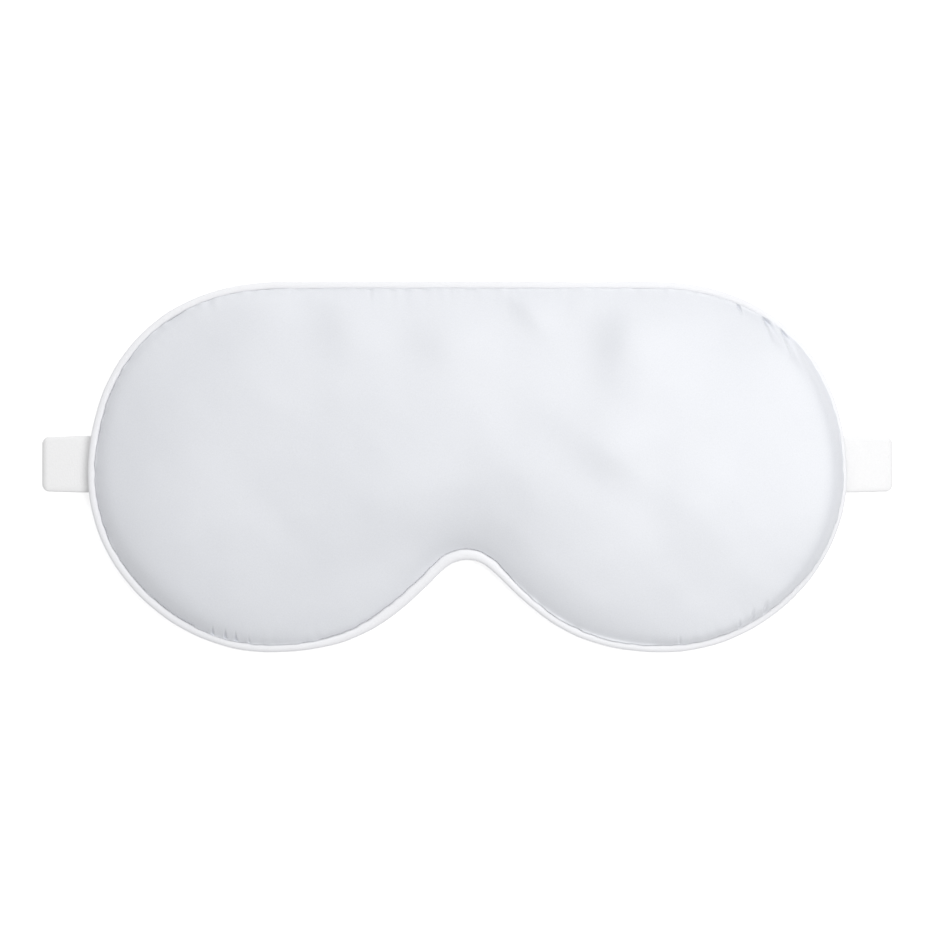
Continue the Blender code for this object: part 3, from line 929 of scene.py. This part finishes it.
def make_floor():
    """A pale floor that stays white to the camera but for the object's shadow."""
    half = FLOOR_SIZE / 2
    material, tree, shader = new_material("floor")
    shader.inputs["Base Color"].default_value = FLOOR_COLOUR
    shader.inputs["Roughness"].default_value = FLOOR_ROUGHNESS
    path = add_node(tree, "ShaderNodeLightPath")
    seen = add_node(tree, "ShaderNodeMath", {
        0: path.outputs["Is Camera Ray"], 1: path.outputs["Is Glossy Ray"]}, operation="MAXIMUM")
    seen = add_node(tree, "ShaderNodeMath", {
        0: seen.outputs["Value"], 1: path.outputs["Is Transmission Ray"]}, operation="MAXIMUM")
    glow = add_node(tree, "ShaderNodeMath", {
        0: seen.outputs["Value"], 1: FLOOR_GLOW}, operation="MULTIPLY")
    shader.inputs["Emission Color"].default_value = WHITE
    tree.links.new(glow.outputs["Value"], shader.inputs["Emission Strength"])
    corners = [(-half, -half, 0.0), (half, -half, 0.0), (half, half, 0.0), (-half, half, 0.0)]
    floor = new_object("floor", corners, [(0, 1, 2, 3)], material)


def make_light(name, place, size, power):
    """A soft square lamp that faces the object."""
    lamp = bpy.data.lights.new(name, "AREA")
    lamp.shape = "SQUARE"
    lamp.size = size
    lamp.energy = power
    obj = bpy.data.objects.new(name, lamp)
    obj.location = place
    obj.rotation_euler = (-Vector(place)).to_track_quat("-Z", "Y").to_euler()
    bpy.context.scene.collection.objects.link(obj)


def make_world():
    """An even white sky that also is the white background."""
    world = bpy.data.worlds.new("studio")
    world.use_nodes = True
    tree = world.node_tree
    background = tree.nodes["Background"]
    background.inputs["Color"].default_value = WHITE
    path = add_node(tree, "ShaderNodeLightPath")
    level = add_node(tree, "ShaderNodeMapRange", {
        "Value": path.outputs["Is Camera Ray"], "To Min": SKY_STRENGTH, "To Max": 1.0})
    tree.links.new(level.outputs["Result"], background.inputs["Strength"])
    bpy.context.scene.world = world


def make_camera():
    """Straight above, framed as the photograph is."""
    data = bpy.data.cameras.new("camera")
    data.lens = CAMERA_LENS
    data.sensor_width = SENSOR
    camera = bpy.data.objects.new("camera", data)
    width = PHOTO_SIZE * MM_PER_PIXEL * MM
    camera.location = (VIEW_CENTRE_X, VIEW_CENTRE_Y, SEAM_Z + width * CAMERA_LENS / SENSOR)
    bpy.context.scene.collection.objects.link(camera)
    bpy.context.scene.camera = camera


def dress_inner_nodes():
    """Gives the solids that stay inside the mask their cloth and cotton."""
    finishes = {
        "blackout_lining": BLACKOUT,
        "piping_cord": COTTON, "left_bar_tack": COTTON, "right_bar_tack": COTTON,
    }
    for node, material in finishes.items():
        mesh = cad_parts[node].data
        mesh.materials.clear()
        mesh.materials.append(material)


make_camera()
front = make_panel("front_satin", "front_panel", front_start, outward=1,
                   puckers=FRONT_PUCKERS, seed=21)
back = make_panel("back_satin", "back_panel", back_start, outward=-1,
                  puckers=[], seed=41)
make_wadding("front_wadding", "front_padding", LINING_HIGH.z + LINING_GAP, 1, front)
make_wadding("back_wadding", "back_padding", LINING_LOW.z - LINING_GAP, -1, back)
make_piping()
make_thread()
make_strap()
dress_inner_nodes()
make_floor()
make_light("key", place=(0.20, 0.05, 0.55), size=0.32, power=1.52)
make_light("back", place=(0.00, 0.75, 0.55), size=0.80, power=2.40)
make_world()
bpy.context.scene.view_settings.view_transform = "Standard"
